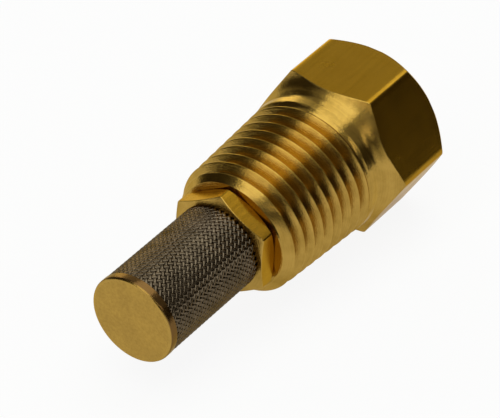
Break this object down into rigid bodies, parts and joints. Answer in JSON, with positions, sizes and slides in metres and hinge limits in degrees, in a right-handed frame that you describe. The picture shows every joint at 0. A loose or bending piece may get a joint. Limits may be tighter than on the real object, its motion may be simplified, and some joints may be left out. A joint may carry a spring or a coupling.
{
  "type": "oil burner nozzle",
  "caption": "Brass oil burner nozzle with a taper pipe thread, a hexagon head and a screw-in gauze strainer on its inlet.",
  "frame": {"origin": "on the nozzle's axis at the inlet end of the threaded shank", "axes": "+X along the axis towards the spray end, +Z out of the hexagon's top flat, +Y through a corner of the hexagon"},
  "size_m": [0.0393, 0.0184, 0.0158],
  "materials": {
    "body_brass": "turned and milled, satin",
    "plug_brass": "turned, satin",
    "cap_brass": "matte turned face",
    "gauze_wire": "dull woven wire",
    "orifice_steel": "lapped"
  },
  "bodies": {
    "nozzle": {"nozzle_body": "body_brass", "orifice_disc": "orifice_steel", "swirl_distributor": "orifice_steel", "retainer_screw": "body_brass"},
    "strainer": {"strainer_plug": "plug_brass", "strainer_gauze": "gauze_wire", "strainer_cap": "cap_brass"}
  },
  "joints": [
    {"name": "strainer_removal", "type": "slide", "parent": "nozzle", "child": "strainer", "axis": [-1, 0, 0], "range_m": [0, 0.008]}
  ]
}
